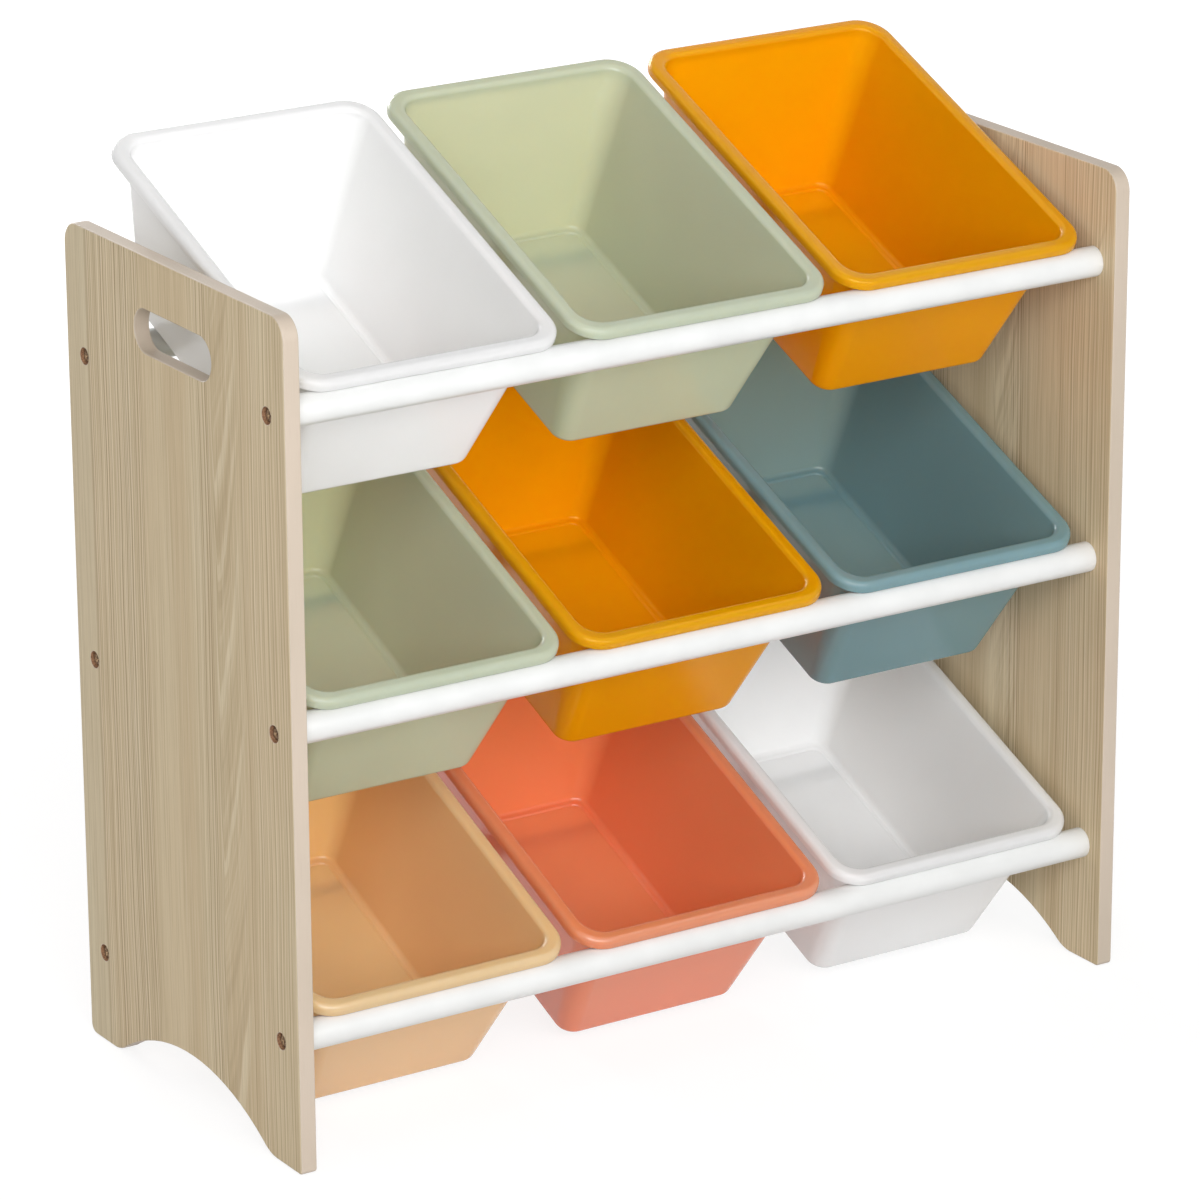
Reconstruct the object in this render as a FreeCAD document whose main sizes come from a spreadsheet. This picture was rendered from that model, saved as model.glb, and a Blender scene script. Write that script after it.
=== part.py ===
import FreeCAD, Part
import Sketcher
import math
import os
import re

# Open rack for toys: two wooden side boards, six round rods and nine tilted bins.
# X runs along the rods, Y to the back and Z up; the origin is the middle of the footprint.
# All lengths are in millimetres.

doc = FreeCAD.newDocument("toy_rack")
sheet = doc.addObject("Spreadsheet::Sheet", "sizes")

SIZES = (
    # Side boards
    ("board_depth", 300.0),
    ("board_thickness", 12.0),
    ("top_corner_radius", 16.0),
    ("heel_radius", 7.0),
    ("toe_radius", 3.0),
    ("foot_width", 43.0),
    ("arch_height", 34.0),
    ("hand_slot_length", 106.0),
    ("hand_slot_width", 31.0),
    ("hand_slot_drop", 53.0),
    # Rods, in rows of one front and one lower back rod
    ("rod_length", 660.0),
    ("rod_diameter", 22.0),
    ("rod_wall", 1.2),
    ("rod_inset", 24.0),
    ("bottom_rod_height", 90.0),
    ("row_pitch", 220.0),
    ("board_above_rods", 70.0),
    ("rod_drop", 22.0),
    # Plugs pressed into the rod ends
    ("plug_length", 34.0),
    ("plug_fit", 0.05),
    ("plug_bore_clearance", 0.1),
    # Screws through the boards
    ("screw_hole_diameter", 5.0),
    ("counterbore_diameter", 12.0),
    ("counterbore_depth", 5.0),
    ("screw_head_diameter", 11.0),
    ("screw_head_height", 3.2),
    ("screw_shank_diameter", 4.0),
    ("screw_length", 32.0),
    # Bins
    ("rim_gap", 9.0),
    ("rim_length", 288.0),
    ("rim_overhang", 8.5),
    ("rim_skirt_height", 8.0),
    ("rim_corner_radius", 24.0),
    ("bin_height", 126.0),
    ("side_taper", 22.5),
    ("end_taper", 24.5),
    ("bin_wall", 2.0),
    ("wall_corner_radius", 16.0),
    ("seat_gap", 0.3),
)

# What follows from those sizes. Three bins fill a row with one gap between rims and at the
# boards. The tilt lets the rim's skirt rest on the front rod
# while the base rests on the back rod, and the front wall hangs against the front rod.
WORKED_OUT = (
    ("top_rod_height", "=bottom_rod_height + 2 * row_pitch"),
    ("board_height", "=top_rod_height + board_above_rods"),
    ("hand_slot_height", "=board_height - hand_slot_drop"),
    ("inner_face", "=rod_length / 2"),
    ("outer_face", "=inner_face + board_thickness"),
    ("board_half_depth", "=board_depth / 2"),
    ("arch_half_width", "=board_half_depth - foot_width"),
    ("arch_radius", "=(arch_half_width ^ 2 + arch_height ^ 2) / (2 * arch_height)"),
    ("hand_slot_centre", "=(hand_slot_length - hand_slot_width) / 2"),
    ("front_rod_place", "=board_half_depth - rod_inset"),
    ("rod_bore", "=rod_diameter - 2 * rod_wall"),
    ("plug_diameter", "=rod_bore - 2 * plug_fit"),
    ("plug_bore", "=screw_shank_diameter + 2 * plug_bore_clearance"),
    ("head_seat", "=outer_face - counterbore_depth"),
    ("rim_width", "=(rod_length - 4 * rim_gap) / 3"),
    ("bin_pitch", "=rim_width + rim_gap"),
    ("top_half_width", "=rim_width / 2 - rim_overhang"),
    ("top_half_length", "=rim_length / 2 - rim_overhang"),
    ("seat_radius", "=rod_diameter / 2 + seat_gap"),
    ("seat_depth", "=rim_skirt_height + seat_radius"),
    ("side_lean", "=atan(side_taper / bin_height)"),
    ("end_lean", "=atan(end_taper / bin_height)"),
    ("seat_forward", "=rim_overhang + seat_depth * tan(end_lean) - seat_radius / cos(end_lean)"),
    ("rod_line", "=sqrt((2 * front_rod_place) ^ 2 + rod_drop ^ 2)"),
    ("drop_angle", "=atan(rod_drop / (2 * front_rod_place))"),
    ("bin_tilt", "=asin((bin_height - rim_skirt_height) / rod_line) - drop_angle"),
    ("rim_reach", "=rim_length / 2 - seat_forward"),
    ("rim_centre_place", "=rim_reach * cos(bin_tilt) - seat_depth * sin(bin_tilt) - front_rod_place"),
    ("rim_centre_rise", "=rim_reach * sin(bin_tilt) + seat_depth * cos(bin_tilt)"),
)

for number, (name, value) in enumerate(SIZES + WORKED_OUT, start=1):
    cell = "A%d" % number
    sheet.set(cell, str(value))
    sheet.setAlias(cell, name)
doc.recompute()

NAMES = [name for name, value in SIZES + WORKED_OUT]
ROWS = ("top", "middle", "bottom")
COLUMNS = ("left", "centre", "right")
MATCH_SHARE = 0.0001
NORMAL = FreeCAD.Vector(0, 0, 1)


def value_of(expression):
    """The plain number that an expression of named sizes gives."""
    result = sheet.evalExpression(expression)
    return float(getattr(result, "Value", result))


def bind(thing, prop, expression):
    """Let a property follow the sheet."""
    full = re.sub("[a-z_]+", lambda word: "sizes." * (word.group() in NAMES) + word.group(), expression)
    thing.setExpression(prop, full)


def new_body(label):
    body = doc.addObject("PartDesign::Body", label)
    body.Label = label
    return body


def new_sketch(body, name, plane, offset="0"):
    """A sketch on one of the body's own origin planes, moved along the plane's normal."""
    sketch = body.newObject("Sketcher::SketchObject", name)
    support = [item for item in body.Origin.OriginFeatures if item.Role == plane][0]
    sketch.AttachmentSupport = [(support, "")]
    sketch.MapMode = "FlatFace"
    if offset != "0":
        bind(sketch, "AttachmentOffset.Base.z", offset)
    return sketch


def datum(sketch, kind, items, expression):
    """A measured constraint whose value follows the sheet."""
    number = sketch.addConstraint(Sketcher.Constraint(kind, *items, value_of(expression)))
    bind(sketch, "Constraints[%d]" % number, expression)


def place_point(sketch, item, end, across, up):
    """Tie one point of an outline to the sketch's origin; either way may be zero."""
    for kind, axis, expression in (("DistanceX", -2, across), ("DistanceY", -1, up)):
        if expression == "0":
            sketch.addConstraint(Sketcher.Constraint("PointOnObject", item, end, axis))
        else:
            datum(sketch, kind, (-1, 1, item, end), expression)


def point(across, up):
    return FreeCAD.Vector(value_of(across), value_of(up), 0)


def circles(sketch, places, diameter):
    radius = value_of(diameter) / 2
    for across, up in places:
        item = sketch.addGeometry(Part.Circle(point(across, up), NORMAL, radius), False)
        place_point(sketch, item, 3, across, up)
        datum(sketch, "Diameter", (item,), diameter)


def bars(sketch, places, across_size, up_size):
    """One small upright or level rectangle at each place."""
    for across, up in places:
        left = across + " - " + across_size + " / 2"
        right = across + " + " + across_size + " / 2"
        low = up + " - " + up_size + " / 2"
        high = up + " + " + up_size + " / 2"
        corners = (point(left, low), point(right, low), point(right, high), point(left, high))
        first = sketch.GeometryCount
        for side in range(4):
            sketch.addGeometry(Part.LineSegment(corners[side], corners[(side + 1) % 4]), False)
        for side in range(4):
            following = first + (side + 1) % 4
            sketch.addConstraint(Sketcher.Constraint("Coincident", first + side, 2, following, 1))
            kind = "Vertical" if side % 2 else "Horizontal"
            sketch.addConstraint(Sketcher.Constraint(kind, first + side))
        place_point(sketch, first, 1, left, low)
        place_point(sketch, first + 2, 1, right, high)


def hexagons(sketch, places, across_corners):
    """One hexagon at each place, with its corners on a circle of this diameter."""
    radius = value_of(across_corners) / 2
    for across, up in places:
        middle = point(across, up)
        circle = sketch.addGeometry(Part.Circle(middle, NORMAL, radius), True)
        place_point(sketch, circle, 3, across, up)
        datum(sketch, "Diameter", (circle,), across_corners)
        turns = [side * math.pi / 3 for side in range(6)]
        corners = [middle + FreeCAD.Vector(radius * math.cos(turn), radius * math.sin(turn), 0) for turn in turns]
        first = sketch.GeometryCount
        for side in range(6):
            sketch.addGeometry(Part.LineSegment(corners[side], corners[(side + 1) % 6]), False)
        for side in range(6):
            following = first + (side + 1) % 6
            sketch.addConstraint(Sketcher.Constraint("Coincident", first + side, 2, following, 1))
            sketch.addConstraint(Sketcher.Constraint("PointOnObject", first + side, 1, circle))
            if side:
                sketch.addConstraint(Sketcher.Constraint("Equal", first, first + side))
        sketch.addConstraint(Sketcher.Constraint("Horizontal", first + 1))


def rounded_rectangle(sketch, half_width, half_length, radius):
    """A rectangle about the origin whose four corners have one radius."""
    wide = value_of(half_width)
    long = value_of(half_length)
    turn = value_of(radius)
    first = sketch.GeometryCount
    for side, end, angle in ((1, -1, -90), (1, 1, 0), (-1, 1, 90), (-1, -1, 180)):
        middle = FreeCAD.Vector(side * (wide - turn), end * (long - turn), 0)
        start = math.radians(angle)
        arc = Part.ArcOfCircle(Part.Circle(middle, NORMAL, turn), start, start + math.pi / 2)
        sketch.addGeometry(arc, False)
    for corner in range(4):
        start = sketch.getPoint(first + corner, 2)
        end = sketch.getPoint(first + (corner + 1) % 4, 1)
        sketch.addGeometry(Part.LineSegment(start, end), False)
    for corner in range(4):
        arc = first + corner
        line = first + 4 + corner
        following = first + (corner + 1) % 4
        sketch.addConstraint(Sketcher.Constraint("Tangent", arc, 2, line, 1))
        sketch.addConstraint(Sketcher.Constraint("Tangent", line, 2, following, 1))
        kind = "Horizontal" if corner % 2 else "Vertical"
        sketch.addConstraint(Sketcher.Constraint(kind, line))
        if corner:
            sketch.addConstraint(Sketcher.Constraint("Equal", first, arc))
    datum(sketch, "Radius", (first,), radius)
    datum(sketch, "DistanceX", (-1, 1, first + 4, 1), half_width)
    datum(sketch, "DistanceX", (first + 6, 1, -1, 1), half_width)
    datum(sketch, "DistanceY", (-1, 1, first + 5, 1), half_length)
    datum(sketch, "DistanceY", (first + 7, 1, -1, 1), half_length)


def pad(body, name, sketch, length, reverse=False, both_ways=False):
    feature = body.newObject("PartDesign::Pad", name)
    feature.Profile = sketch
    feature.Refine = True
    feature.Reversed = reverse
    if both_ways:
        feature.SideType = "Symmetric"
    bind(feature, "Length", length)
    doc.recompute()


def cut(body, feature):
    """Recompute a cutting feature and see that it took something away."""
    before = body.Shape.Volume
    doc.recompute()
    if not body.Shape.Volume < before:
        raise ValueError("nothing was cut by " + feature.Label)


def pocket(body, name, sketch, depth, reverse):
    """Cut the sketch to a depth, or right through where no depth is given."""
    feature = body.newObject("PartDesign::Pocket", name)
    feature.Profile = sketch
    feature.Reversed = reverse
    if depth:
        bind(feature, "Length", depth)
    else:
        feature.Type = "ThroughAll"
    cut(body, feature)


def lies_in(edge, axis, expression):
    """Whether the whole edge lies in the plane at this place along an axis."""
    box = edge.BoundBox
    low = (box.XMin, box.YMin, box.ZMin)[axis]
    high = (box.XMax, box.YMax, box.ZMax)[axis]
    wanted = value_of(expression)
    near = value_of("board_thickness") * MATCH_SHARE
    return abs(low - wanted) < near and abs(high - wanted) < near


def fillet(body, name, wanted, radius):
    """A round on the edges that pass the test."""
    base = body.Tip
    edges = enumerate(base.Shape.Edges, start=1)
    feature = body.newObject("PartDesign::Fillet", name)
    feature.Base = (base, ["Edge%d" % number for number, edge in edges if wanted(edge)])
    bind(feature, "Radius", radius)
    doc.recompute()


def faces_at(shape, axis, expression):
    """The flat faces that lie at this place along an axis."""
    faces = enumerate(shape.Faces, start=1)
    return ["Face%d" % number for number, face in faces if lies_in(face, axis, expression)]


def lean_inwards(body, name, axis, half_size, angle):
    """Lean two opposite walls in towards the base, from their lines in the rim's plane."""
    base = body.Tip
    walls = faces_at(base.Shape, axis, half_size) + faces_at(base.Shape, axis, "0 - " + half_size)
    plane = [item for item in body.Origin.OriginFeatures if item.Role == "XY_Plane"][0]
    feature = body.newObject("PartDesign::Draft", name)
    feature.Base = (base, walls)
    feature.NeutralPlane = (plane, [""])
    feature.Reversed = True
    bind(feature, "Angle", angle)
    cut(body, feature)


def hollow_out(body, name, wall):
    """Leave an even wall inside the block and open its top."""
    base = body.Tip
    feature = body.newObject("PartDesign::Thickness", name)
    feature.Base = (base, faces_at(base.Shape, 2, "0"))
    feature.Reversed = True
    feature.Join = "Intersection"
    bind(feature, "Value", wall)
    cut(body, feature)


def rod_places():
    """The six rod axes, across the depth and above the floor, row by row."""
    places = []
    for row in range(len(ROWS)):
        height = "top_rod_height - %d * row_pitch" % row
        places.append(("0 - front_rod_place", height))
        places.append(("front_rod_place", height + " - rod_drop"))
    return places


def arch_and_sides(outline):
    """The board's outline: square corners above, two feet and an arch between them."""
    front = "0 - board_half_depth"
    back = "board_half_depth"
    corners = (
        ("arch_half_width", "0"),
        (back, "0"),
        (back, "board_height"),
        (front, "board_height"),
        (front, "0"),
        ("0 - arch_half_width", "0"),
    )
    last = len(corners) - 2
    for number in range(last + 1):
        line = Part.LineSegment(point(*corners[number]), point(*corners[number + 1]))
        outline.addGeometry(line, False)
        place_point(outline, number, 1, *corners[number])
    for number in range(last):
        outline.addConstraint(Sketcher.Constraint("Coincident", number, 2, number + 1, 1))
    place_point(outline, last, 2, *corners[-1])
    crown = point("0", "arch_height")
    arch = outline.addGeometry(Part.Arc(point(*corners[-1]), crown, point(*corners[0])), False)
    back_end = 1 if outline.getPoint(arch, 1).x > 0 else 2
    outline.addConstraint(Sketcher.Constraint("Coincident", arch, back_end, 0, 1))
    outline.addConstraint(Sketcher.Constraint("Coincident", arch, 3 - back_end, last, 2))
    datum(outline, "Radius", (arch,), "arch_radius")


def hand_slot(slot):
    """A level slot with round ends."""
    radius = value_of("hand_slot_width") / 2
    ends = (("hand_slot_centre", -math.pi / 2), ("0 - hand_slot_centre", math.pi / 2))
    for across, start in ends:
        circle = Part.Circle(point(across, "hand_slot_height"), NORMAL, radius)
        slot.addGeometry(Part.ArcOfCircle(circle, start, start + math.pi), False)
    for arc, other in ((0, 1), (1, 0)):
        slot.addGeometry(Part.LineSegment(slot.getPoint(arc, 2), slot.getPoint(other, 1)), False)
        line = arc + 2
        slot.addConstraint(Sketcher.Constraint("Tangent", arc, 2, line, 1))
        slot.addConstraint(Sketcher.Constraint("Tangent", line, 2, other, 1))
    datum(slot, "Radius", (0,), "hand_slot_width / 2")
    place_point(slot, 0, 3, "hand_slot_centre", "hand_slot_height")
    place_point(slot, 1, 3, "0 - hand_slot_centre", "hand_slot_height")


def screw_holes(body, name, sketch, reverse):
    """Counterbored holes through the board, drilled from its outer face."""
    doc.recompute()
    hole = body.newObject("PartDesign::Hole", name)
    hole.Profile = sketch
    hole.DepthType = "ThroughAll"
    hole.HoleCutType = "Counterbore"
    hole.HoleCutCustomValues = True
    hole.Reversed = reverse
    bind(hole, "Diameter", "screw_hole_diameter")
    bind(hole, "HoleCutDiameter", "counterbore_diameter")
    bind(hole, "HoleCutDepth", "counterbore_depth")
    cut(body, hole)


def side_panel(label, side):
    """A board with two feet under an arch, a hand slot and six screw holes."""
    body = new_body(label)
    sign = "0 - " if side < 0 else ""
    inner = sign + "inner_face"
    outer = sign + "outer_face"
    outline = new_sketch(body, label + "_outline", "YZ_Plane", inner)
    arch_and_sides(outline)
    pad(body, label + "_board", outline, "board_thickness", reverse=side < 0)

    def at_top(edge):
        return lies_in(edge, 2, "board_height") and not lies_in(edge, 0, inner) and not lies_in(edge, 0, outer)

    def at_heel(edge):
        return lies_in(edge, 2, "0") and lies_in(edge, 1, "board_half_depth")

    def at_toe(edge):
        return lies_in(edge, 2, "0") and lies_in(edge, 1, "0 - board_half_depth")

    fillet(body, label + "_top_corners", at_top, "top_corner_radius")
    fillet(body, label + "_heel", at_heel, "heel_radius")
    fillet(body, label + "_toe", at_toe, "toe_radius")
    slot = new_sketch(body, label + "_slot_outline", "YZ_Plane", inner)
    hand_slot(slot)
    pocket(body, label + "_slot", slot, "", side > 0)
    centres = new_sketch(body, label + "_screw_places", "YZ_Plane", outer)
    circles(centres, rod_places(), "screw_hole_diameter")
    screw_holes(body, label + "_screw_holes", centres, side < 0)
    return body


def rod(label, across, up):
    """A round tube between the two boards."""
    body = new_body(label)
    ring = new_sketch(body, label + "_ring", "YZ_Plane")
    circles(ring, (("0", "0"),), "rod_diameter")
    circles(ring, (("0", "0"),), "rod_bore")
    pad(body, label + "_tube", ring, "rod_length", both_ways=True)
    bind(body, "Placement.Base.y", across)
    bind(body, "Placement.Base.z", up)
    return body


def rod_plugs(label, side):
    """Six hexagonal plugs, flush with the rod ends, that grip the bores with their corners."""
    body = new_body(label)
    body.AllowCompound = True
    sign = "0 - " if side < 0 else ""
    outlines = new_sketch(body, label + "_outlines", "YZ_Plane", sign + "inner_face")
    hexagons(outlines, rod_places(), "plug_diameter")
    hexagons(outlines, rod_places(), "plug_bore")
    pad(body, label + "_plugs", outlines, "plug_length", reverse=side > 0)
    return body


def screws(label, side):
    """Six screws, each with its flat head seated in a counterbore and its shank drawn with six flats."""
    body = new_body(label)
    body.AllowCompound = True
    sign = "0 - " if side < 0 else ""
    heads = new_sketch(body, label + "_head_rounds", "YZ_Plane", sign + "head_seat")
    circles(heads, rod_places(), "screw_head_diameter")
    pad(body, label + "_heads", heads, "screw_head_height", reverse=side < 0)
    shanks = new_sketch(body, label + "_shank_outlines", "YZ_Plane", sign + "head_seat")
    hexagons(shanks, rod_places(), "screw_shank_diameter")
    pad(body, label + "_shanks", shanks, "screw_length", reverse=side > 0)
    return body


def bin_body(label, row, column):
    """A tapered moulded bin with a hollow turned-down rim, tilted on its two rods."""
    body = new_body(label)
    mouth = new_sketch(body, label + "_mouth_outline", "XY_Plane")
    bars(mouth, (("0", "0"),), "2 * top_half_width", "2 * top_half_length")
    pad(body, label + "_block", mouth, "bin_height", reverse=True)
    lean_inwards(body, label + "_side_lean", 0, "top_half_width", "side_lean")
    lean_inwards(body, label + "_end_lean", 1, "top_half_length", "end_lean")

    def at_corner(edge):
        box = edge.BoundBox
        return box.ZLength > value_of("bin_height / 2")

    fillet(body, label + "_corners", at_corner, "wall_corner_radius")
    hollow_out(body, label + "_hollow", "bin_wall")

    flange = new_sketch(body, label + "_flange_outline", "XY_Plane")
    rounded_rectangle(flange, "rim_width / 2", "rim_length / 2", "rim_corner_radius")
    rounded_rectangle(flange, "top_half_width - bin_wall / 2", "top_half_length - bin_wall / 2",
                      "wall_corner_radius - bin_wall / 2")
    pad(body, label + "_flange", flange, "bin_wall", reverse=True)
    skirt = new_sketch(body, label + "_skirt_outline", "XY_Plane")
    rounded_rectangle(skirt, "rim_width / 2", "rim_length / 2", "rim_corner_radius")
    rounded_rectangle(skirt, "rim_width / 2 - bin_wall", "rim_length / 2 - bin_wall", "rim_corner_radius - bin_wall")
    pad(body, label + "_skirt", skirt, "rim_skirt_height", reverse=True)

    body.Placement = FreeCAD.Placement(FreeCAD.Vector(0, 0, 0), FreeCAD.Rotation(FreeCAD.Vector(1, 0, 0), 1))
    bind(body, "Placement.Rotation.Angle", "bin_tilt")
    bind(body, "Placement.Base.x", "%d * bin_pitch" % (column - 1))
    bind(body, "Placement.Base.y", "rim_centre_place")
    bind(body, "Placement.Base.z", "top_rod_height - %d * row_pitch + rim_centre_rise" % row)
    return body


parts = [side_panel("left_side_panel", -1), side_panel("right_side_panel", 1)]
for number, (across, up) in enumerate(rod_places()):
    side = "back" if number % 2 else "front"
    parts.append(rod("%s_%s_rod" % (ROWS[number // 2], side), across, up))
for side, sign in (("left", -1), ("right", 1)):
    parts.append(rod_plugs(side + "_rod_plugs", sign))
    parts.append(screws(side + "_panel_screws", sign))
for row in range(len(ROWS)):
    for column in range(len(COLUMNS)):
        parts.append(bin_body("%s_%s_bin" % (ROWS[row], COLUMNS[column]), row, column))
doc.recompute()

for thing in doc.Objects:
    if "Invalid" in thing.State or "Error" in thing.State:
        raise ValueError(thing.Label + " failed: " + str(thing.State))
for body in parts:
    if body.Shape.isNull() or not body.Shape.isValid():
        raise ValueError(body.Label + " has no sound shape")

os.makedirs("parts", exist_ok=True)
for body in parts:
    body.Shape.exportStep("parts/" + body.Label + ".step")
    print(body.Label, len(body.Shape.Solids), "solids", round(body.Shape.Volume), "mm3")
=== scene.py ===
"""Toy rack: two printed boards, six white rods and nine bins that hang tilted on the rods."""

import math

import bmesh
import bpy
from mathutils import Matrix, Vector


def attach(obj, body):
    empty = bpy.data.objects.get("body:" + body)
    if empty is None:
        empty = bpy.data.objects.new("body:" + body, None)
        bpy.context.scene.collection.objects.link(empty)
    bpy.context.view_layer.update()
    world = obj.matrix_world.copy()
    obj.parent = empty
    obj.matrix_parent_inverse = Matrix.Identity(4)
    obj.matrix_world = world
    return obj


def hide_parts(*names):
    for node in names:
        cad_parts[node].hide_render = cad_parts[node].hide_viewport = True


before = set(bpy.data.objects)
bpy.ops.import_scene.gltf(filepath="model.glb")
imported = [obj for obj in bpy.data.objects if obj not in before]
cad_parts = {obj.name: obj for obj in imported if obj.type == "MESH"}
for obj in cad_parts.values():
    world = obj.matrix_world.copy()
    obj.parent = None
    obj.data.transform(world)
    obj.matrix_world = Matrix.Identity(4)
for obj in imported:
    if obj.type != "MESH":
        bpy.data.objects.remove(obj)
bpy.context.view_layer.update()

# Sizes of the rack, in metres and radians

BOARD_DEPTH = 0.300
BOARD_HEIGHT = 0.600
BOARD_THICKNESS = 0.012
BOARD_OUTER_FACE = 0.342
HEAD_RADIUS = 0.016
HEEL_RADIUS = 0.007
TOE_RADIUS = 0.003
ARCH_END_RADIUS = 0.008
ARCH_HALF_WIDTH = 0.107
ARCH_HEIGHT = 0.034
EDGE_STRIP = 0.0015
EDGE_ROUND = 0.0010

SLOT_LENGTH = 0.106
SLOT_WIDTH = 0.031
SLOT_MIDDLE = (0.0, 0.547)

HOLE_RING = 0.0072
COUNTERBORE_RADIUS = 0.0060
COUNTERBORE_DEPTH = 0.005
COUNTERBORE_ROUND = 0.0004
HOLE_RADIUS = 0.0025

ROD_INSET = 0.024
ROD_RADIUS = 0.011
ROD_WALL = 0.0012
ROD_DROP = 0.022
ROD_END_ROUND = 0.0003
FRONT_ROD_HEIGHT = {"top": 0.530, "middle": 0.310, "bottom": 0.090}

HEAD_TOP = 0.0018
SHANK_LENGTH = 0.032
SHANK_POINT = 0.003
THREAD_CREST = 0.0019
THREAD_ROOT = 0.0015
THREAD_TURNS = 15
THREAD_PITCH = 0.0016
THREAD_FALL = 0.0006
PLAIN_SHANK = 0.004
CROSS_ARM = 0.0026
CROSS_HALF_WIDTH = 0.0006
CROSS_DEPTH = 0.0018
CROSS_TAPER = 0.6

BIN_TILT = math.radians(22.81666454)
BIN_PITCH = 0.217
BIN_FORWARD = -0.00143531409
BIN_ABOVE_ROD = 0.07334323253
COLUMNS = {"left": -1, "centre": 0, "right": 1}

# Width, length, corner radius and height of a bin's outline at each stage, from its base up the
# outside, over the rim and down the inside, then the rounding of the edge there and its steps
BIN_STAGES = (
    (0.146, 0.222, 0.0130, -0.126, 0.0050, 5),  # base
    (0.19028, 0.27022, 0.0189, -0.002, 0.0008, 2),  # wall under the rim
    (0.2040, 0.2840, 0.0220, -0.002, None, None),  # hollow of the rim
    (0.2040, 0.2840, 0.0220, -0.008, None, None),  # inside of the skirt's edge
    (0.2080, 0.2880, 0.0240, -0.008, 0.0006, 2),  # outside of the skirt's edge
    (0.2080, 0.2880, 0.0240, 0.000, 0.0042, 6),  # outside of the rim's top
    (0.1870, 0.2670, 0.0170, 0.000, 0.0034, 6),  # mouth
    (0.1425, 0.2186, 0.0112, -0.1225, 0.0028, 5),  # foot of the inner wall
    (0.1335, 0.2096, 0.0075, -0.1227, 0.0007, 2),  # inside of the ledge
    (0.1320, 0.2081, 0.0068, -0.1240, 0.0006, 2),  # floor
)
GATE_RADIUS = 0.0052
GATE_FLOOR_RADIUS = 0.0042
GATE_DEPTH = 0.0004
GATE_MIDDLE = (0.0, 0.004)
GATE_STEPS = 28

STUDIO_AIM = Vector((0.0, 0.0, 0.3))


# Camera

def stand_camera():
    lens = bpy.data.cameras.new("camera")
    lens.lens = 177.7525
    lens.sensor_width = 36.0
    lens.clip_end = 60.0
    camera = bpy.data.objects.new("camera", lens)
    bpy.context.collection.objects.link(camera)
    turn, rise, roll = (math.radians(angle) for angle in (-32.611, 90 - 18.8912, -0.2859))
    camera.matrix_world = (
        Matrix.Translation((-2.1406927, -3.3378934, 1.660205))
        @ Matrix.Rotation(turn, 4, "Z")
        @ Matrix.Rotation(rise, 4, "X")
        @ Matrix.Rotation(roll, 4, "Z")
    )
    bpy.context.scene.camera = camera


# Finishes

def seen(red, green, blue):
    """The shader's value for a colour given as it is seen, from 0 to 255."""
    parts = [part / 255 for part in (red, green, blue)]
    light = [p / 12.92 if p <= 0.04045 else ((p + 0.055) / 1.055) ** 2.4 for p in parts]
    return (*light, 1.0)


class Finish:
    """One finish and the nodes that it is made of."""

    def __init__(self, name):
        self.material = bpy.data.materials.new(name)
        self.material.use_nodes = True
        self.tree = self.material.node_tree
        self.shader = self.tree.nodes["Principled BSDF"]
        self.place = self.add("ShaderNodeTexCoord").outputs["Object"]

    def add(self, kind, inputs=None, **settings):
        node = self.tree.nodes.new(kind)
        for key, value in settings.items():
            setattr(node, key, value)
        for key, value in (inputs or {}).items():
            self.feed(node.inputs[key], value)
        return node

    def feed(self, socket, value):
        if isinstance(value, bpy.types.NodeSocket):
            self.tree.links.new(value, socket)
        else:
            socket.default_value = value

    def maths(self, operation, first, second=0.0):
        return self.add("ShaderNodeMath", {0: first, 1: second}, operation=operation).outputs[0]

    def times(self, first, second):
        return self.maths("MULTIPLY", first, second)

    def fit(self, value, low, high, to_low=0.0, to_high=1.0):
        """The value moved from one range to another, and held inside it."""
        limits = {
            "Value": value,
            "From Min": low,
            "From Max": high,
            "To Min": to_low,
            "To Max": to_high,
        }
        return self.add("ShaderNodeMapRange", limits).outputs[0]

    def grain(self, per_metre, detail=2.0, roughness=0.5, shift=(0.0, 0.0, 0.0)):
        """Noise with its own count of features per metre along each axis."""
        placing = {"Vector": self.place, "Scale": per_metre, "Location": shift}
        laid = self.add("ShaderNodeMapping", placing).outputs[0]
        values = {"Vector": laid, "Scale": 1.0, "Detail": detail, "Roughness": roughness}
        return self.add("ShaderNodeTexNoise", values).outputs[0]

    def row_noise(self, place, per_unit, detail, roughness):
        """Noise that changes along one measure only."""
        values = {"W": place, "Scale": per_unit, "Detail": detail, "Roughness": roughness}
        return self.add("ShaderNodeTexNoise", values, noise_dimensions="1D").outputs[0]

    def blend(self, amount, first, second):
        mixed = self.add("ShaderNodeMix", {0: amount, 6: first, 7: second}, data_type="RGBA")
        return mixed.outputs[2]

    def layered(self, base, layers):
        """The base colour with each layer's seen colour laid over it by its amount."""
        for amount, colour in layers:
            base = self.blend(amount, base, seen(*colour))
        return base

    def relief(self, height, depth, strength):
        values = {"Height": height, "Distance": depth, "Strength": strength}
        self.feed(self.shader.inputs["Normal"], self.add("ShaderNodeBump", values).outputs[0])


# How strong the printed lines are at shares of the board's depth, from the front edge to the back
LINE_STRENGTH = (
    (0.0, 0.70),
    (0.20, 0.70),
    (0.235, 0.20),
    (0.32, 0.20),
    (0.345, 1.0),
    (0.41, 0.80),
    (0.44, 0.16),
    (0.63, 0.14),
    (0.66, 1.0),
    (0.89, 1.0),
    (0.905, 0.12),
    (1.0, 0.25),
)


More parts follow.
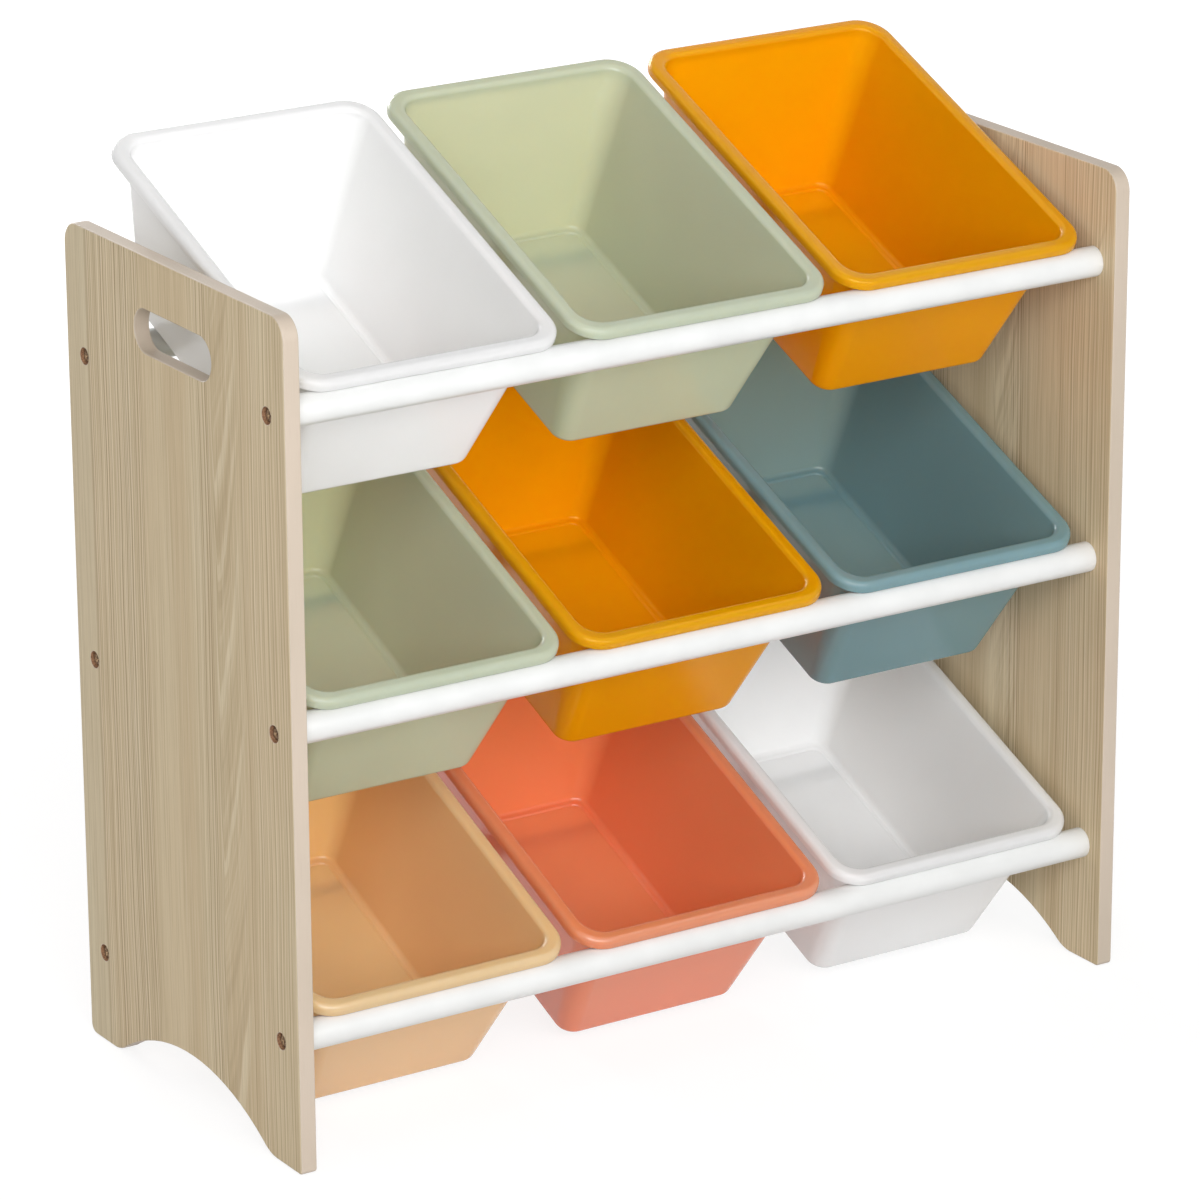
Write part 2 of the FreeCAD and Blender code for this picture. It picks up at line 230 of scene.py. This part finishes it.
def line_strength(wood, depth):
    half = BOARD_DEPTH / 2
    ramp = wood.add("ShaderNodeValToRGB", {"Fac": wood.fit(depth, -half, half)})
    marks = ramp.color_ramp.elements
    while len(marks) < len(LINE_STRENGTH):
        marks.new(0.5)
    for mark, (position, level) in zip(marks, LINE_STRENGTH):
        mark.position = position
        mark.color = (level, level, level, 1.0)
    return ramp.outputs[0]


def pointed_figures(wood, bent, height, figure_at):
    """Nested figures that point down in one column: their noise and the column's mask."""
    times, fit = wood.times, wood.fit
    across = wood.maths("SUBTRACT", bent, figure_at)
    spread = wood.maths("ABSOLUTE", times(across, fit(across, -0.0005, 0.0005, 1.0, 5.0)))
    arch = times(spread, wood.maths("ADD", 34.0, times(spread, 900.0)))
    uneven = fit(wood.grain((9, 40, 7)), 0.0, 1.0, -0.5, 0.5)
    count = wood.maths("ADD", wood.maths("SUBTRACT", times(height, 18.0), arch), uneven)
    column = times(fit(across, -0.036, -0.024), fit(across, 0.002, 0.006, 1.0, 0.0))
    return wood.row_noise(count, 1.0, 2.5, 0.65), column


def printed_oak(name, figure_at):
    """Matt printed oak: straight lines whose strength changes across the board, one column of
    nested pointed figures, a paler strip behind a seam line, and fine fibres."""
    wood = Finish(name)
    times, fit, grain = wood.times, wood.fit, wood.grain
    place = wood.add("ShaderNodeSeparateXYZ", {0: wood.place})
    depth, height = place.outputs[1], place.outputs[2]
    bent = wood.maths("ADD", depth, fit(grain((3, 9, 3.2)), 0.0, 1.0, -0.006, 0.006))
    lines = wood.row_noise(bent, 540.0, 2.5, 0.6)
    strength = line_strength(wood, depth)
    figure, column = pointed_figures(wood, bent, height, figure_at)
    tone = grain((2, 34, 0.9))
    warm = grain((2, 16, 2.0), 1.0, shift=(4.0, 2.0, 1.0))
    fibre = grain((40, 620, 9), 3.0, 0.65)
    thread = grain((60, 1500, 26), 2.0, 0.6)
    seam = times(fit(bent, 0.117, 0.120), fit(bent, 0.120, 0.122, 1.0, 0.0))
    base = wood.blend(fit(tone, 0.35, 0.65), seen(197, 178, 143), seen(216, 200, 167))
    base = wood.layered(base, (
        (times(fit(warm, 0.4, 0.62), 0.45), (208, 184, 148)),
        (times(seam, 0.55), (158, 136, 104)),
        (fit(bent, 0.119, 0.123, 0.0, 0.5), (212, 199, 170)),
        (times(fit(lines, 0.51, 0.62), times(strength, 0.80)), (156, 130, 97)),
        (times(fit(lines, 0.46, 0.36), times(strength, 0.65)), (228, 213, 184)),
        (times(fit(figure, 0.53, 0.62), times(column, 0.30)), (160, 137, 101)),
        (times(fit(figure, 0.48, 0.38), times(column, 0.60)), (224, 209, 178)),
        (fit(fibre, 0.52, 0.74, 0.0, 0.42), (160, 138, 104)),
        (fit(fibre, 0.46, 0.28, 0.0, 0.34), (222, 208, 180)),
        (fit(thread, 0.5, 0.8, 0.0, 0.35), (166, 150, 118)),
    ))
    wood.feed(wood.shader.inputs["Base Color"], base)
    wood.feed(wood.shader.inputs["Roughness"], fit(fibre, 0.3, 0.7, 0.52, 0.64))
    wood.shader.inputs["Specular IOR Level"].default_value = 0.35
    wood.relief(wood.maths("ADD", fibre, times(lines, 0.4)), 0.00006, 0.6)
    return wood.material


def foil_edge(name):
    """Plain pinkish-beige edging with a faint bloom and hair-fine streaks along the cut."""
    foil = Finish(name)
    cloud = foil.grain((18, 18, 6))
    streak = foil.grain((900, 900, 30))
    base = foil.blend(foil.fit(cloud, 0.35, 0.65), seen(187, 173, 156), seen(195, 180, 164))
    base = foil.layered(base, ((foil.fit(streak, 0.55, 0.8, 0.0, 0.2), (176, 159, 142)),))
    foil.feed(foil.shader.inputs["Base Color"], base)
    foil.feed(foil.shader.inputs["Roughness"], foil.fit(streak, 0.3, 0.7, 0.42, 0.56))
    foil.relief(streak, 0.00003, 0.4)
    return foil.material


def drilled_board(name):
    """Raw brown chip where the boards are drilled."""
    chip = Finish(name)
    crumb = chip.grain((900, 900, 900), 3.0, 0.7)
    base = chip.blend(chip.fit(crumb, 0.35, 0.65), seen(116, 82, 58), seen(176, 134, 100))
    chip.feed(chip.shader.inputs["Base Color"], base)
    chip.feed(chip.shader.inputs["Roughness"], chip.fit(crumb, 0.3, 0.7, 0.7, 0.9))
    chip.relief(crumb, 0.0003, 0.8)
    return chip.material


def moulded_plastic(name, shade, gloss, bend=1.49, glint=(1.0, 1.0, 1.0), reach=(1.0, 0.8, 0.6)):
    """Smooth glossy moulding whose thin walls let light through: slight drift in the pigment,
    soft orange peel and faint rubbing."""
    plastic = Finish(name)
    drift = plastic.grain((11, 11, 11))
    peel = plastic.grain((420, 420, 420), 1.0)
    rub = plastic.grain((22, 22, 22), 3.0, 0.6)
    paler = tuple(min(1.0, part * 1.015) for part in shade[:3]) + (1.0,)
    deeper = tuple(part * 0.985 for part in shade[:3]) + (1.0,)
    base = plastic.blend(plastic.fit(drift, 0.35, 0.65), deeper, paler)
    plastic.feed(plastic.shader.inputs["Base Color"], base)
    rubbed = plastic.fit(rub, 0.35, 0.75, gloss, gloss + 0.03)
    plastic.feed(plastic.shader.inputs["Roughness"], rubbed)
    plastic.shader.inputs["IOR"].default_value = bend
    plastic.shader.inputs["Specular Tint"].default_value = (*glint, 1.0)
    plastic.shader.inputs["Subsurface Weight"].default_value = 0.7
    plastic.shader.inputs["Subsurface Radius"].default_value = reach
    plastic.shader.inputs["Subsurface Scale"].default_value = 0.012
    plastic.relief(peel, 0.00002, 0.35)
    return plastic.material


def white_coating(name):
    """Satin white stoving on the rods, with a slight ripple."""
    coat = Finish(name)
    ripple = coat.grain((60, 260, 260))
    dust = coat.grain((30, 30, 30), 3.0)
    base = coat.blend(coat.fit(dust, 0.35, 0.7), seen(218, 219, 218), seen(224, 225, 224))
    coat.feed(coat.shader.inputs["Base Color"], base)
    coat.feed(coat.shader.inputs["Roughness"], coat.fit(ripple, 0.3, 0.7, 0.28, 0.38))
    coat.relief(ripple, 0.00003, 0.4)
    return coat.material


def bronze_plating(name):
    """Dark bronze plating with brighter worn spots."""
    metal = Finish(name)
    worn = metal.grain((500, 500, 500), 3.0, 0.7)
    base = metal.blend(metal.fit(worn, 0.4, 0.7), seen(92, 72, 54), seen(168, 142, 112))
    metal.feed(metal.shader.inputs["Base Color"], base)
    metal.shader.inputs["Metallic"].default_value = 1.0
    metal.feed(metal.shader.inputs["Roughness"], metal.fit(worn, 0.3, 0.7, 0.45, 0.28))
    metal.relief(worn, 0.00004, 0.5)
    return metal.material


def plain_plug(name):
    """Matt moulded plug inside the rod ends."""
    plug = Finish(name)
    cloud = plug.grain((300, 300, 300))
    base = plug.blend(plug.fit(cloud, 0.35, 0.65), seen(218, 218, 215), seen(228, 228, 225))
    plug.feed(plug.shader.inputs["Base Color"], base)
    plug.feed(plug.shader.inputs["Roughness"], plug.fit(cloud, 0.3, 0.7, 0.5, 0.62))
    plug.relief(cloud, 0.00005, 0.5)
    return plug.material


# Shaping helpers

def rounded_loop(bm, width, length, corner, height, middle=(0.0, 0.0), steps=10):
    """Edges of one rounded rectangle lying flat at a height."""
    made = bmesh.ops.create_grid(bm, x_segments=1, y_segments=1, size=0.5)["verts"]
    bmesh.ops.scale(bm, vec=(width, length, 1.0), verts=made)
    bmesh.ops.translate(bm, vec=(*middle, height), verts=made)
    soften_corners(bm, made, corner, steps)
    sheet = next(face for face in bm.faces if len(face.verts) > 4 * steps)
    edges = list(sheet.edges)
    bmesh.ops.delete(bm, geom=[sheet], context="FACES_ONLY")
    return edges


def round_loop(bm, radius, height, middle, steps=32):
    """Edges of one circle lying flat at a height."""
    laid = Matrix.Translation((*middle, height))
    made = bmesh.ops.create_circle(bm, cap_ends=False, segments=steps, radius=radius, matrix=laid)
    return list({edge for vert in made["verts"] for edge in vert.link_edges})


def draw_out(bm, loop, rise, share=1.0, middle=(0.0, 0.0)):
    """A wall drawn out of a loop; gives the loop at its end, raised, and scaled about a line."""
    drawn = bmesh.ops.extrude_edge_only(bm, edges=loop)["geom"]
    verts = [item for item in drawn if isinstance(item, bmesh.types.BMVert)]
    about = Matrix.Translation((-middle[0], -middle[1], 0.0))
    bmesh.ops.translate(bm, vec=(0.0, 0.0, rise), verts=verts)
    bmesh.ops.scale(bm, vec=(share, share, 1.0), space=about, verts=verts)
    return [item for item in drawn if isinstance(item, bmesh.types.BMEdge)]


def walk(bm, corner, stops):
    """A chain of edges from a corner through the stops; gives back its last corner."""
    for stop in stops:
        corner = bmesh.ops.extrude_vert_indiv(bm, verts=[corner])["verts"][0]
        corner.co = stop
    return corner


def turn_round(bm, middle, axis, steps):
    """Turns what was drawn so far once round an axis and closes the seam."""
    drawn = list(bm.verts) + list(bm.edges)
    bmesh.ops.spin(
        bm, geom=drawn, cent=middle, axis=axis, angle=2 * math.pi, steps=steps, use_merge=True
    )


def soften(bm, edges, radius, steps):
    bmesh.ops.bevel(
        bm, geom=edges, affect="EDGES", offset=radius, segments=steps, profile=0.5, material=-1
    )


def soften_corners(bm, corners, radius, steps):
    bmesh.ops.bevel(
        bm, geom=corners, affect="VERTICES", offset=radius, segments=steps, profile=0.5, material=-1
    )


def put_out(bm, name, body, node, slot, finishes):
    """Turns the shape into a piece of the rack that stands for the CAD node."""
    for face in bm.faces:
        face.smooth = True
    mesh = bpy.data.meshes.new(name)
    bm.to_mesh(mesh)
    bm.free()
    for finish in finishes:
        mesh.materials.append(finish)
    piece = bpy.data.objects.new(name, mesh)
    bpy.context.collection.objects.link(piece)
    even = piece.modifiers.new("even shading", "WEIGHTED_NORMAL")
    even.keep_sharp = True
    even.weight = 60
    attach(piece, body)
    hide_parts(node)


# Bins

def make_bin(row, column, slot, finish):
    """One moulded bin: a thin tapered tray with rounded corners, a turned-down hollow rim, a ledge
    round its floor and the gate mark on it."""
    bm = bmesh.new()
    loops = [rounded_loop(bm, *stage[:4]) for stage in BIN_STAGES]
    for lower, upper in zip(loops, loops[1:]):
        bmesh.ops.bridge_loops(bm, edges=lower + upper)
    bmesh.ops.contextual_create(bm, geom=loops[0])
    floor = BIN_STAGES[-1][3]
    mark = round_loop(bm, GATE_RADIUS, floor, GATE_MIDDLE, GATE_STEPS)
    dip = round_loop(bm, GATE_FLOOR_RADIUS, floor - GATE_DEPTH, GATE_MIDDLE, GATE_STEPS)
    bmesh.ops.triangle_fill(bm, edges=loops[-1] + mark, use_beauty=True)
    bmesh.ops.bridge_loops(bm, edges=mark + dip)
    bmesh.ops.contextual_create(bm, geom=dip)
    for loop, stage in zip(loops, BIN_STAGES):
        radius, steps = stage[4:]
        if radius:
            soften(bm, loop, radius, steps)
    bmesh.ops.recalc_face_normals(bm, faces=bm.faces)
    across = COLUMNS[column] * BIN_PITCH
    rise = FRONT_ROD_HEIGHT[row] + BIN_ABOVE_ROD
    place = Matrix.Translation((across, BIN_FORWARD, rise)) @ Matrix.Rotation(BIN_TILT, 4, "X")
    bmesh.ops.transform(bm, matrix=place, verts=bm.verts)
    node = f"{row}_{column}_bin"
    put_out(bm, f"{node}_shell", node, node, slot, [finish])


# Rods

def make_rod(row, side, finish):
    """One white tube from board to board."""
    bm = bmesh.new()
    end = BOARD_OUTER_FACE - BOARD_THICKNESS
    back = side == "back"
    depth = (BOARD_DEPTH / 2 - ROD_INSET) * (1 if back else -1)
    height = FRONT_ROD_HEIGHT[row] - (ROD_DROP if back else 0.0)
    middle = Vector((0.0, depth, height))
    bore = ROD_RADIUS - ROD_WALL
    section = [(-end, ROD_RADIUS), (end, ROD_RADIUS), (end, bore), (-end, bore)]
    start, *stops = [middle + Vector((along, 0.0, out)) for along, out in section]
    first = bm.verts.new(start)
    last = walk(bm, first, stops)
    bmesh.ops.contextual_create(bm, geom=[last, first])
    turn_round(bm, middle, (1.0, 0.0, 0.0), 56)
    bmesh.ops.remove_doubles(bm, verts=bm.verts, dist=0.00001)
    bmesh.ops.recalc_face_normals(bm, faces=bm.faces)
    rims = [edge for edge in bm.edges if edge.calc_face_angle(0.0) > 1.2]
    soften(bm, rims, ROD_END_ROUND, 2)
    put_out(bm, f"{row}_{side}_tube", "frame", f"{row}_{side}_rod", "white_rod", [finish])


# Boards and screws

def screw_places():
    for height in FRONT_ROD_HEIGHT.values():
        yield (ROD_INSET - BOARD_DEPTH / 2, height)
        yield (BOARD_DEPTH / 2 - ROD_INSET, height - ROD_DROP)


def stand_up(bm, side):
    """Turns what was made lying flat, outer face down, into its place at one side of the rack."""
    out = -1 if side == "left" else 1
    upright = Matrix((
        (0.0, 0.0, -out, out * BOARD_OUTER_FACE),
        (1.0, 0.0, 0.0, 0.0),
        (0.0, 1.0, 0.0, 0.0),
        (0.0, 0.0, 0.0, 1.0),
    ))
    bmesh.ops.transform(bm, matrix=upright, verts=bm.verts)
    bmesh.ops.recalc_face_normals(bm, faces=bm.faces)


def nearest(bm, spot):
    return min(bm.verts, key=lambda vert: (vert.co - Vector(spot)).length)


def outline_sheet(bm):
    """The one face with the whole outline: no other face has so many corners."""
    return next(face for face in bm.faces if len(face.verts) > 30)


def board_outline(bm, level):
    """The board's outline, flat at a level: arch between two feet, rounded head corners. Gives its
    outer edges and those of a narrow strip inside it."""
    half, side = ARCH_HALF_WIDTH, BOARD_DEPTH / 2
    sweep = (half * half + ARCH_HEIGHT * ARCH_HEIGHT) / (2 * ARCH_HEIGHT)
    first = bm.verts.new((half, 0.0, level))
    bmesh.ops.spin(
        bm,
        geom=[first],
        cent=(0.0, ARCH_HEIGHT - sweep, level),
        axis=(0.0, 0.0, 1.0),
        angle=2 * math.asin(half / sweep),
        steps=20,
    )
    far = nearest(bm, (-half, 0.0, level))
    corners = [(side, 0.0), (side, BOARD_HEIGHT), (-side, BOARD_HEIGHT), (-side, 0.0)]
    last = walk(bm, first, [(*corner, level) for corner in corners])
    bmesh.ops.contextual_create(bm, geom=[last, far])
    open_edges = [edge for edge in bm.edges if not edge.link_faces]
    ring = [edge for edge in open_edges if abs(edge.verts[0].co.z - level) < 1e-6]
    bmesh.ops.contextual_create(bm, geom=ring)
    rounds = (
        ((side, BOARD_HEIGHT), HEAD_RADIUS, 10),
        ((-side, BOARD_HEIGHT), HEAD_RADIUS, 10),
        ((side, 0.0), HEEL_RADIUS, 6),
        ((-side, 0.0), TOE_RADIUS, 4),
        ((half, 0.0), ARCH_END_RADIUS, 5),
        ((-half, 0.0), ARCH_END_RADIUS, 5),
    )
    for corner, radius, steps in rounds:
        soften_corners(bm, [nearest(bm, (*corner, level))], radius, steps)
    strip = bmesh.ops.inset_region(
        bm,
        faces=[outline_sheet(bm)],
        thickness=EDGE_STRIP,
        use_boundary=True,
        use_even_offset=True,
    )["faces"]
    outer = [edge for face in strip for edge in face.edges if edge.is_boundary]
    sheet = outline_sheet(bm)
    inner = list(sheet.edges)
    bmesh.ops.delete(bm, geom=[sheet], context="FACES_ONLY")
    return outer, inner


def slot_loop(bm, level, margin=0.0):
    """Edges round the hand slot; its ends stay a hair short of full half circles."""
    width = SLOT_WIDTH + 2 * margin
    corner = width / 2 - 0.00001
    return rounded_loop(bm, SLOT_LENGTH + 2 * margin, width, corner, level, SLOT_MIDDLE, 12)


def drill(bm, place):
    """One counterbored hole right through the board: the loops round it, at its mouth and at its
    far end."""
    around = round_loop(bm, HOLE_RING, 0.0, place)
    mouth = draw_out(bm, around, 0.0, COUNTERBORE_RADIUS / HOLE_RING, place)
    floor = draw_out(bm, mouth, COUNTERBORE_DEPTH, 1.0, place)
    hole = draw_out(bm, floor, 0.0, HOLE_RADIUS / COUNTERBORE_RADIUS, place)
    return around, mouth, draw_out(bm, hole, BOARD_THICKNESS - COUNTERBORE_DEPTH, 1.0, place)


def share_out_finishes(bm):
    """Print on the two faces, raw board in the holes and foil on all edges."""
    print_index, foil_index, raw_index = range(3)
    near, skin = COUNTERBORE_RADIUS + 0.0001, 0.0002
    centres = [Vector(place) for place in screw_places()]
    for face in bm.faces:
        middle = face.calc_center_median()
        inside = skin < middle.z < BOARD_THICKNESS - skin
        if inside and min((middle.xy - centre).length for centre in centres) < near:
            face.material_index = raw_index
        elif abs(face.normal.z) > 0.95:
            face.material_index = print_index
        else:
            face.material_index = foil_index


def make_board(side, finishes):
    """One side board: arch and feet, hand slot, six counterbored screw holes, softened edges."""
    bm = bmesh.new()
    far_outline, far_inside = board_outline(bm, BOARD_THICKNESS)
    outline, inside = board_outline(bm, 0.0)
    slot = slot_loop(bm, 0.0)
    strip = slot_loop(bm, 0.0, EDGE_STRIP)
    far_strip = slot_loop(bm, BOARD_THICKNESS, EDGE_STRIP)
    bmesh.ops.bridge_loops(bm, edges=slot + strip)
    far_slot = draw_out(bm, slot, BOARD_THICKNESS)
    bmesh.ops.bridge_loops(bm, edges=far_slot + far_strip)
    rings, mouths, ends = zip(*[drill(bm, place) for place in screw_places()])
    bmesh.ops.triangle_fill(bm, edges=sum(rings, inside + strip), use_beauty=True)
    bmesh.ops.triangle_fill(bm, edges=sum(ends, far_inside + far_strip), use_beauty=True)
    bmesh.ops.bridge_loops(bm, edges=outline + far_outline)
    bmesh.ops.recalc_face_normals(bm, faces=bm.faces)
    soften(bm, sum(mouths, []), COUNTERBORE_ROUND, 2)
    soften(bm, outline + far_outline + slot + far_slot, EDGE_ROUND, 3)
    share_out_finishes(bm)
    stand_up(bm, side)
    put_out(bm, f"{side}_board", "frame", f"{side}_side_panel", "oak_print_board", finishes)


def screw_profile():
    """Distance from the axis and height of the screw's outline, from the rim of its head's flat top
    to its point."""
    seat = COUNTERBORE_DEPTH
    tip = seat + SHANK_LENGTH
    yield from ((0.0034, HEAD_TOP), (0.0044, HEAD_TOP + 0.0003), (0.0051, HEAD_TOP + 0.0009))
    yield from ((0.0055, HEAD_TOP + 0.0019), (0.0055, seat), (THREAD_CREST, seat))
    for turn in range(THREAD_TURNS):
        level = seat + PLAIN_SHANK + turn * THREAD_PITCH
        yield (THREAD_CREST, level)
        yield (THREAD_ROOT, level + THREAD_FALL)
    yield (THREAD_ROOT, tip - SHANK_POINT)
    yield (0.0, tip)


def make_screws(side, finish):
    """Six screws: low domed heads with a cross recess, ridged shanks."""
    bm = bmesh.new()
    start, *stops = [(out, 0.0, level) for out, level in screw_profile()]
    walk(bm, bm.verts.new(start), stops)
    turn_round(bm, (0.0, 0.0, 0.0), (0.0, 0.0, 1.0), 28)
    bmesh.ops.remove_doubles(bm, verts=bm.verts, dist=0.000001)
    crown = [edge for edge in bm.edges if edge.is_boundary]
    arm, half = CROSS_ARM, CROSS_HALF_WIDTH
    quarter = ((arm, -half), (arm, half), (half, half))
    turns = ((1, 0), (0, 1), (-1, 0), (0, -1))
    corners = [(x * c - y * s, x * s + y * c) for c, s in turns for x, y in quarter]
    first = bm.verts.new((*corners[0], HEAD_TOP))
    last = walk(bm, first, [(*corner, HEAD_TOP) for corner in corners[1:]])
    bmesh.ops.contextual_create(bm, geom=[last, first])
    cross = [edge for edge in bm.edges if edge.is_wire]
    bmesh.ops.triangle_fill(bm, edges=crown + cross, use_beauty=True)
    bmesh.ops.contextual_create(bm, geom=draw_out(bm, cross, CROSS_DEPTH, CROSS_TAPER))
    one = list(bm.verts) + list(bm.edges) + list(bm.faces)
    own_verts = list(bm.verts)
    own_place, *others = screw_places()
    for place in others:
        copy = bmesh.ops.duplicate(bm, geom=one)["geom"]
        verts = [item for item in copy if isinstance(item, bmesh.types.BMVert)]
        bmesh.ops.translate(bm, vec=(*place, 0.0), verts=verts)
    bmesh.ops.translate(bm, vec=(*own_place, 0.0), verts=own_verts)
    stand_up(bm, side)
    put_out(bm, f"{side}_screw_set", "frame", f"{side}_panel_screws", "bronze_screw", [finish])


def finish_plugs(side, finish):
    """The plugs stay as the CAD made them and only get their finish."""
    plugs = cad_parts[f"{side}_rod_plugs"]
    for slot in plugs.material_slots:
        slot.material = finish
    if not plugs.material_slots:
        plugs.data.materials.append(finish)


# Studio

def softbox(name, at, width, power):
    lamp = bpy.data.lights.new(name, "AREA")
    lamp.shape = "SQUARE"
    lamp.size = width
    lamp.energy = power
    holder = bpy.data.objects.new(name, lamp)
    bpy.context.collection.objects.link(holder)
    holder.location = at
    holder.rotation_euler = (STUDIO_AIM - Vector(at)).to_track_quat("-Z", "Y").to_euler()


def node_with(tree, kind, **values):
    """A node with values on its sockets, named with low lines for the spaces."""
    node = tree.nodes.new(kind)
    for key, value in values.items():
        node.inputs[key.replace("_", " ")].default_value = value
    return node


def shown_plainly(tree):
    """1 for what the camera, a reflection or clear matter shows, and 0 for light on the rack."""
    path = tree.nodes.new("ShaderNodeLightPath")
    value = path.outputs["Is Camera Ray"]
    for other in ("Is Glossy Ray", "Is Transmission Ray"):
        most = tree.nodes.new("ShaderNodeMath")
        most.operation = "MAXIMUM"
        tree.links.new(value, most.inputs[0])
        tree.links.new(path.outputs[other], most.inputs[1])
        value = most.outputs[0]
    return value


def floor_paint():
    """Pale for the light that falls on it. Shown, it keeps the rack's soft shadow and clears to
    white away from the rack."""
    paint = bpy.data.materials.new("pale floor")
    paint.use_nodes = True
    tree = paint.node_tree
    link = tree.links.new
    tree.nodes.clear()
    output = tree.nodes.new("ShaderNodeOutputMaterial")
    choice = tree.nodes.new("ShaderNodeMixShader")
    lit = node_with(tree, "ShaderNodeBsdfDiffuse", Color=(0.72, 0.72, 0.72, 1.0))
    faint = node_with(tree, "ShaderNodeBsdfDiffuse", Color=(0.22, 0.22, 0.22, 1.0))
    place = tree.nodes.new("ShaderNodeTexCoord")
    away = tree.nodes.new("ShaderNodeVectorMath")
    away.operation = "LENGTH"
    limits = {"From_Min": 0.8, "From_Max": 2.6, "To_Min": 0.83, "To_Max": 1.0}
    clearing = node_with(tree, "ShaderNodeMapRange", **limits)
    glow = tree.nodes.new("ShaderNodeEmission")
    both = tree.nodes.new("ShaderNodeAddShader")
    link(place.outputs["Object"], away.inputs[0])
    link(away.outputs["Value"], clearing.inputs["Value"])
    link(clearing.outputs[0], glow.inputs["Strength"])
    link(faint.outputs[0], both.inputs[0])
    link(glow.outputs[0], both.inputs[1])
    link(shown_plainly(tree), choice.inputs[0])
    link(lit.outputs[0], choice.inputs[1])
    link(both.outputs[0], choice.inputs[2])
    link(choice.outputs[0], output.inputs["Surface"])
    return paint


def lay_floor():
    """A broad sheet a little under the feet."""
    bm = bmesh.new()
    bmesh.ops.create_grid(bm, x_segments=1, y_segments=1, size=16.0)
    bmesh.ops.translate(bm, vec=(0.0, 0.0, -0.0004), verts=bm.verts)
    mesh = bpy.data.meshes.new("studio_floor")
    bm.to_mesh(mesh)
    bm.free()
    mesh.materials.append(floor_paint())
    floor = bpy.data.objects.new("studio_floor", mesh)
    bpy.context.collection.objects.link(floor)


def light_studio():
    """Dim even surroundings, two broad softboxes low at the front, a weak one at the left, one
    behind that shines through the thin bins, a weak one above and two small ones for highlights."""
    scene = bpy.context.scene
    scene.view_settings.view_transform = "Standard"
    world = bpy.data.worlds.new("studio")
    scene.world = world
    world.use_nodes = True
    tree = world.node_tree
    sky = tree.nodes["Background"]
    level = node_with(tree, "ShaderNodeMapRange", To_Min=0.22, To_Max=1.0)
    tree.links.new(shown_plainly(tree), level.inputs["Value"])
    tree.links.new(level.outputs[0], sky.inputs["Strength"])
    sky.inputs["Color"].default_value = (1.0, 1.0, 1.0, 1.0)
    broad, small = 1.8, 0.4
    softbox("softbox by the camera", (-1.45, -2.72, 1.74), broad, 66.0)
    softbox("softbox in front", (0.28, -3.18, 1.46), broad, 42.0)
    softbox("softbox at the left", (-3.19, 0.00, 1.46), broad, 12.0)
    softbox("softbox behind", (0.00, 3.15, 1.57), broad, 65.0)
    softbox("softbox above", (0.30, -0.25, 3.70), broad, 10.0)
    softbox("highlight from the right", (1.72, -1.80, 2.57), small, 3.0)
    softbox("highlight from behind", (-1.70, 1.10, 2.96), small, 3.0)


# The rack put together

stand_camera()

board_edge = foil_edge("foil edge")
raw_chip = drilled_board("drilled board")
for side, figure_at in (("left", -0.054), ("right", -0.012)):
    make_board(side, [printed_oak(f"printed oak {side}", figure_at), board_edge, raw_chip])

coated_tube = white_coating("white coated tube")
bronze = bronze_plating("bronze plating")
matt_plug = plain_plug("matt plug")
for row in FRONT_ROD_HEIGHT:
    for side in ("front", "back"):
        make_rod(row, side, coated_tube)
for side in ("left", "right"):
    make_screws(side, bronze)
    finish_plugs(side, matt_plug)

white = moulded_plastic("white plastic", seen(248, 248, 248), 0.24, reach=(1.0, 1.0, 1.0))
sage = moulded_plastic("sage plastic", seen(184, 190, 164), 0.22)
mustard = moulded_plastic("mustard plastic", seen(231, 149, 2), 0.22, glint=(1.0, 0.72, 0.25))
blue_grey = moulded_plastic("blue grey plastic", seen(112, 145, 151), 0.22)
apricot = moulded_plastic("apricot plastic", seen(240, 188, 139), 0.24, bend=1.60)
coral = moulded_plastic("coral plastic", seen(238, 133, 94), 0.22, bend=1.62)
BINS = (
    ("top", "left", "white_plastic", white),
    ("top", "centre", "sage_plastic", sage),
    ("top", "right", "mustard_plastic", mustard),
    ("middle", "left", "sage_plastic", sage),
    ("middle", "centre", "mustard_plastic", mustard),
    ("middle", "right", "blue_grey_plastic", blue_grey),
    ("bottom", "left", "apricot_plastic", apricot),
    ("bottom", "centre", "coral_plastic", coral),
    ("bottom", "right", "white_plastic", white),
)
for row, column, slot, finish in BINS:
    make_bin(row, column, slot, finish)

lay_floor()
light_studio()
